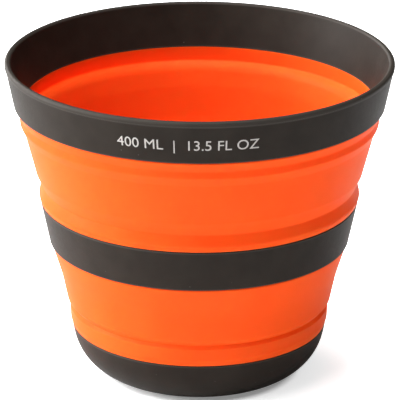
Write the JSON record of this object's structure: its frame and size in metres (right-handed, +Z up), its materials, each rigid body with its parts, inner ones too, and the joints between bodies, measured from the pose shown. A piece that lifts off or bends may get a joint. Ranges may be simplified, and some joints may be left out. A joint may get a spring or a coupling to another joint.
{
  "type": "collapsible travel cup",
  "caption": "Collapsible travel cup: stiff base, middle ring and rim joined by flared silicone walls that fold down so the rings nest into a flat stack.",
  "frame": {"origin": "centre of the foot's underside, on the surface the cup stands on", "axes": "+Z up along the cup's axis, which both folds slide along; -Y is the front, where the rim carries its printed mark"},
  "size_m": [0.104, 0.104, 0.088],
  "materials": {
    "dark_nylon": "fine matte moulded texture",
    "orange_silicone": "soft satin, slightly translucent"
  },
  "bodies": {
    "base": {"base_cup": "dark_nylon", "lower_wall": "orange_silicone"},
    "middle": {"middle_ring": "dark_nylon", "upper_wall": "orange_silicone"},
    "rim": {"rim_ring": "dark_nylon"}
  },
  "joints": [
    {"name": "lower_fold", "type": "slide", "parent": "base", "child": "middle", "axis": [0, 0, -1], "range_m": [0, 0.0362], "deforming": ["lower_wall"]},
    {"name": "upper_fold", "type": "slide", "parent": "middle", "child": "rim", "axis": [0, 0, -1], "range_m": [0, 0.03], "deforming": ["upper_wall"]}
  ]
}
